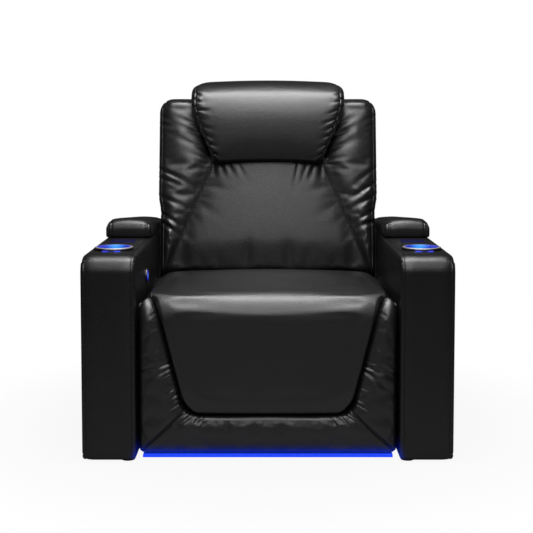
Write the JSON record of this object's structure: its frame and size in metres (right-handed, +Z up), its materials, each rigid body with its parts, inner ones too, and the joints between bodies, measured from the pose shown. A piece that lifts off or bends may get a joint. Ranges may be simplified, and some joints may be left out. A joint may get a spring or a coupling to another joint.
{
  "type": "cinema recliner seat",
  "caption": "Power recliner theatre seat with a chaise footrest, tilting headrest, lidded arm storage and lit cup holders.",
  "frame": {"origin": "centre of the footprint box on the floor", "axes": "+Z up, the seat faces -Y, +X to the right seen from the front"},
  "size_m": [0.99, 0.92, 1.0374],
  "materials": {
    "leather": "black smooth-grain leather, satin",
    "plywood": "birch plywood, raw",
    "black_steel": "black powder coat",
    "zinc_steel": "zinc plated",
    "rod_steel": "ground and polished",
    "polished_metal": "satin chrome",
    "dark_plastic": "black moulded, fine texture",
    "dark_glass": "black gloss",
    "blue_light": "lit blue diffuser",
    "webbing": "woven elastic strap",
    "aluminium_profile": "anodised"
  },
  "bodies": {
    "base": {"floor_glides": "dark_plastic", "base_rails": "black_steel", "cross_tubes": "black_steel", "side_plates": "black_steel", "footrest_hinge_tube": "black_steel", "hinge_pins": "zinc_steel", "actuator_clevises": "black_steel", "footrest_actuator": "dark_plastic", "recline_actuator": "dark_plastic", "seat_side_rails": "plywood", "seat_cross_rails": "plywood", "seat_webbing": "webbing", "seat_cushion": "leather", "knee_roll": "leather", "control_box": "dark_plastic", "rear_skirt": "leather", "switch_housing": "polished_metal", "arm_frames": "plywood", "storage_bins": "dark_plastic", "cup_lights": "blue_light", "touch_crescents": "blue_light", "dock_plates": "dark_glass", "lid_fixed_leaves": "zinc_steel", "left_arm_cover": "leather", "left_cup_holder": "polished_metal", "right_arm_cover": "leather", "right_cup_holder": "polished_metal"},
    "footrest": {"footrest_board": "plywood", "footrest_pad": "leather", "footrest_bolsters": "leather", "footrest_band": "leather", "footrest_arms": "black_steel", "light_channel": "aluminium_profile", "light_diffuser": "blue_light"},
    "drive": {"drive_shaft": "black_steel"},
    "left_coupler": {"left_coupler_link": "zinc_steel"},
    "right_coupler": {"right_coupler_link": "zinc_steel"},
    "footrest_rod": {"footrest_rod": "rod_steel"},
    "backrest": {"back_stiles": "plywood", "back_rails": "plywood", "back_webbing": "webbing", "back_brackets": "black_steel", "back_centre_pad": "leather", "back_wings": "leather", "back_shell": "leather", "headrest_bracket": "black_steel", "headrest_actuator": "dark_plastic", "headrest_clevis": "black_steel"},
    "recline_rod": {"recline_rod": "rod_steel"},
    "headrest": {"headrest_carrier": "black_steel", "headrest_pad": "leather"},
    "headrest_rod": {"headrest_rod": "rod_steel"},
    "left_lid": {"left_lid_board": "plywood", "left_lid_leaf": "zinc_steel", "left_lid_pad": "leather"},
    "right_lid": {"right_lid_board": "plywood", "right_lid_leaf": "zinc_steel", "right_lid_pad": "leather"},
    "button_open": {"switch_button_open": "blue_light"},
    "button_close": {"switch_button_close": "blue_light"}
  },
  "joints": [
    {"name": "footrest_lift", "type": "hinge", "parent": "base", "child": "footrest", "pos_m": [0, -0.375, 0.365], "axis": [-1, 0, 0], "range_deg": [0, 85], "deforming": ["knee_roll"]},
    {"name": "drive_turn", "type": "hinge", "parent": "base", "child": "drive", "pos_m": [0, -0.225, 0.28], "axis": [-1, 0, 0], "range_deg": [0, 85]},
    {"name": "left_coupler_turn", "type": "hinge", "parent": "footrest", "child": "left_coupler", "pos_m": [0, -0.35, 0.255], "axis": [1, 0, 0], "range_deg": [0, 85]},
    {"name": "right_coupler_turn", "type": "hinge", "parent": "footrest", "child": "right_coupler", "pos_m": [0, -0.35, 0.255], "axis": [1, 0, 0], "range_deg": [0, 85]},
    {"name": "footrest_rod_slide", "type": "slide", "parent": "base", "child": "footrest_rod", "axis": [0, -1, 0], "range_m": [0, 0.06766]},
    {"name": "back_recline", "type": "hinge", "parent": "base", "child": "backrest", "pos_m": [0, 0.195, 0.372], "axis": [-1, 0, 0], "range_deg": [0, 40]},
    {"name": "recline_rod_slide", "type": "slide", "parent": "base", "child": "recline_rod", "axis": [0, -1, 0], "range_m": [0, 0.06166]},
    {"name": "headrest_tilt", "type": "hinge", "parent": "backrest", "child": "headrest", "pos_m": [0, 0.18696, 0.78168], "axis": [1, 0, 0], "range_deg": [0, 35]},
    {"name": "headrest_rod_slide", "type": "slide", "parent": "backrest", "child": "headrest_rod", "axis": [0, 0.1908, 0.9816], "range_m": [0, 0.05723]},
    {"name": "left_lid_open", "type": "hinge", "parent": "base", "child": "left_lid", "pos_m": [-0.421, 0.428, 0.558], "axis": [-1, 0, 0], "range_deg": [0, 80]},
    {"name": "right_lid_open", "type": "hinge", "parent": "base", "child": "right_lid", "pos_m": [0.421, 0.428, 0.558], "axis": [-1, 0, 0], "range_deg": [0, 80]},
    {"name": "button_open_press", "type": "slide", "parent": "base", "child": "button_open", "axis": [-1, 0, 0], "range_m": [0, 0.0015], "stiffness_N_per_m": 900, "springref_m": -0.0005},
    {"name": "button_close_press", "type": "slide", "parent": "base", "child": "button_close", "axis": [-1, 0, 0], "range_m": [0, 0.0015], "stiffness_N_per_m": 900, "springref_m": -0.0005}
  ],
  "couplings": [
    {"joint": "drive_turn", "follows": "footrest_lift", "ratio": 1},
    {"joint": "left_coupler_turn", "follows": "footrest_lift", "ratio": 1},
    {"joint": "right_coupler_turn", "follows": "footrest_lift", "ratio": 1},
    {"joint": "footrest_rod_slide", "follows": "footrest_lift", "m_per_rad": 0.045539},
    {"joint": "recline_rod_slide", "follows": "back_recline", "m_per_rad": 0.088183},
    {"joint": "headrest_rod_slide", "follows": "headrest_tilt", "m_per_rad": 0.09353}
  ]
}
